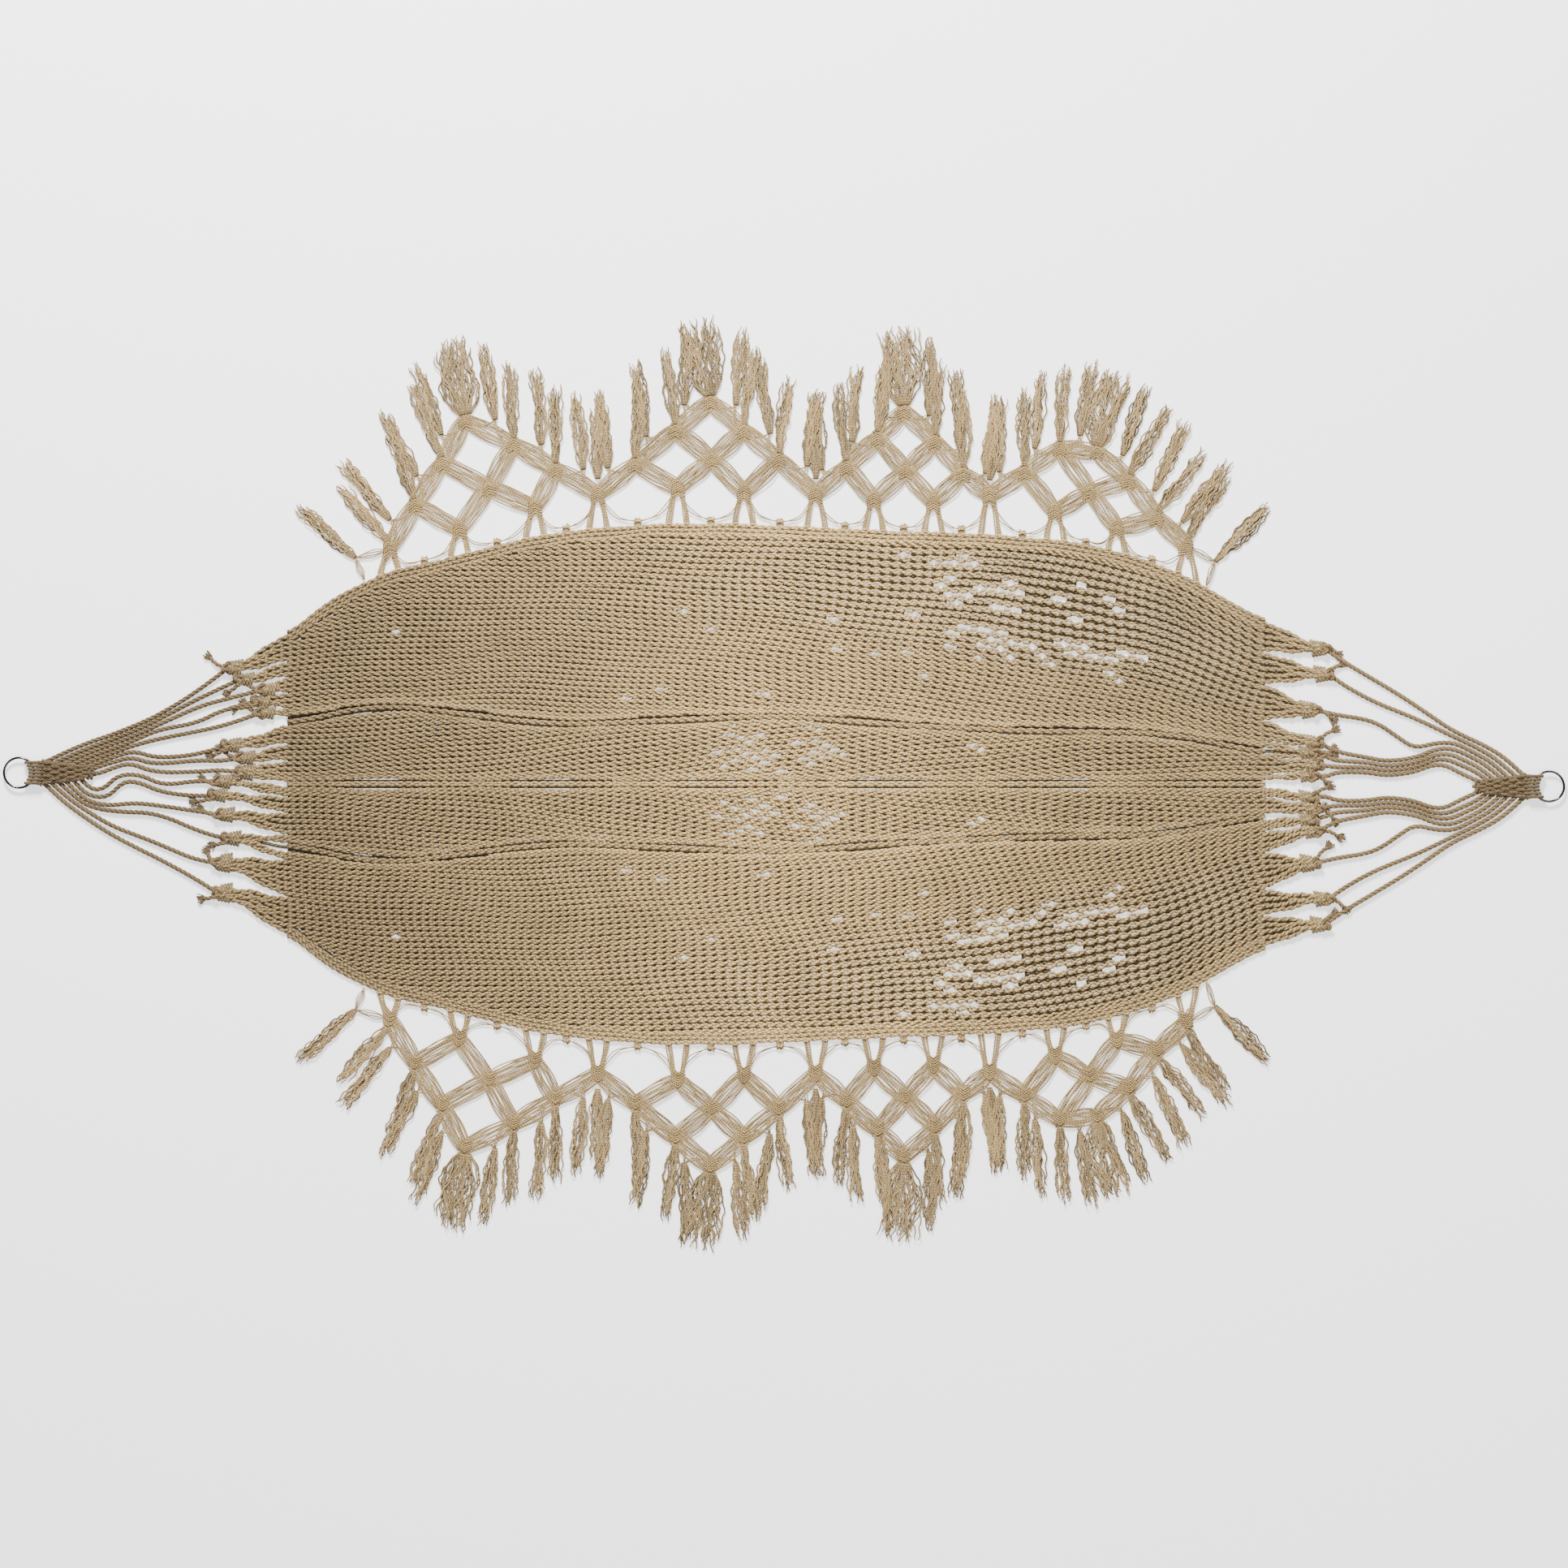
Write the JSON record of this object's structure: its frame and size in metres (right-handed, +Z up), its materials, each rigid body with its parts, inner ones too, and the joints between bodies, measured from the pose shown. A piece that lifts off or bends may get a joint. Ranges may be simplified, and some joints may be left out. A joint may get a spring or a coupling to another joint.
{
  "type": "rope hammock",
  "caption": "Woven cotton net hammock bed with rope clews gathered on steel rings and knotted tassel fringes.",
  "frame": {"origin": "on the ground under the middle of the hammock, laid out flat", "axes": "+X along the hammock to the right-hand ring, +Y to the back fringe, +Z up"},
  "size_m": [2.5, 1.498, 0.0168],
  "materials": {
    "bed_cord": "soft twisted cotton cord, interlinked",
    "clew_rope": "laid cotton rope",
    "fringe_thread": "loose twisted cotton threads",
    "ring_steel": "bright plated round wire"
  },
  "bodies": {
    "bed": {"bed_net": "bed_cord", "left_leg_knots": "clew_rope", "right_leg_knots": "clew_rope", "left_leg_tails": "clew_rope", "right_leg_tails": "clew_rope", "back_fringe_ties": "fringe_thread", "front_fringe_ties": "fringe_thread", "back_end_tassels": "fringe_thread", "front_end_tassels": "fringe_thread"},
    "left_clew": {"left_clew_weave": "clew_rope", "left_leg_01": "clew_rope", "left_leg_02": "clew_rope", "left_leg_03": "clew_rope", "left_leg_04": "clew_rope", "left_leg_05": "clew_rope", "left_leg_06": "clew_rope", "left_leg_07": "clew_rope", "left_leg_08": "clew_rope", "left_leg_09": "clew_rope", "left_leg_10": "clew_rope", "left_leg_11": "clew_rope", "left_leg_12": "clew_rope", "left_leg_13": "clew_rope", "left_leg_14": "clew_rope"},
    "right_clew": {"right_clew_weave": "clew_rope", "right_leg_01": "clew_rope", "right_leg_02": "clew_rope", "right_leg_03": "clew_rope", "right_leg_04": "clew_rope", "right_leg_05": "clew_rope", "right_leg_06": "clew_rope", "right_leg_07": "clew_rope", "right_leg_08": "clew_rope", "right_leg_09": "clew_rope", "right_leg_10": "clew_rope", "right_leg_11": "clew_rope", "right_leg_12": "clew_rope", "right_leg_13": "clew_rope", "right_leg_14": "clew_rope"},
    "left_eye": {"left_ring_bights": "clew_rope"},
    "right_eye": {"right_ring_bights": "clew_rope"},
    "left_ring": {"left_ring": "ring_steel"},
    "right_ring": {"right_ring": "ring_steel"},
    "back_fringe": {"back_fringe_1": "fringe_thread", "back_fringe_2": "fringe_thread", "back_fringe_3": "fringe_thread", "back_fringe_4": "fringe_thread", "back_tassels_1": "fringe_thread", "back_tassels_2": "fringe_thread", "back_tassels_3": "fringe_thread", "back_tassels_4": "fringe_thread"},
    "front_fringe": {"front_fringe_1": "fringe_thread", "front_fringe_2": "fringe_thread", "front_fringe_3": "fringe_thread", "front_fringe_4": "fringe_thread", "front_tassels_1": "fringe_thread", "front_tassels_2": "fringe_thread", "front_tassels_3": "fringe_thread", "front_tassels_4": "fringe_thread"}
  },
  "joints": [
    {"name": "left_clew_swing", "type": "hinge", "parent": "bed", "child": "left_clew", "pos_m": [-0.965, 0, 0.003], "axis": [0, 1, 0], "range_deg": [-90, 90]},
    {"name": "right_clew_swing", "type": "hinge", "parent": "bed", "child": "right_clew", "pos_m": [0.905, 0, 0.003], "axis": [0, -1, 0], "range_deg": [-90, 90]},
    {"name": "left_eye_swing", "type": "hinge", "parent": "left_clew", "child": "left_eye", "pos_m": [-1.2, 0.018, 0.0084], "axis": [0, 1, 0], "range_deg": [-80, 80]},
    {"name": "right_eye_swing", "type": "hinge", "parent": "right_clew", "child": "right_eye", "pos_m": [1.2, -0.004, 0.0084], "axis": [0, -1, 0], "range_deg": [-80, 80]},
    {"name": "left_ring_turn", "type": "hinge", "parent": "left_eye", "child": "left_ring", "pos_m": [-1.224, 0.018, 0.0084], "axis": [0, 0, 1], "continuous": true},
    {"name": "right_ring_turn", "type": "hinge", "parent": "right_eye", "child": "right_ring", "pos_m": [1.224, -0.004, 0.0084], "axis": [0, 0, 1], "continuous": true},
    {"name": "back_fringe_swing", "type": "hinge", "parent": "bed", "child": "back_fringe", "pos_m": [0, 0.428, 0.003], "axis": [1, 0, 0], "range_deg": [-90, 90]},
    {"name": "front_fringe_swing", "type": "hinge", "parent": "bed", "child": "front_fringe", "pos_m": [0, -0.428, 0.003], "axis": [-1, 0, 0], "range_deg": [-90, 90]}
  ]
}
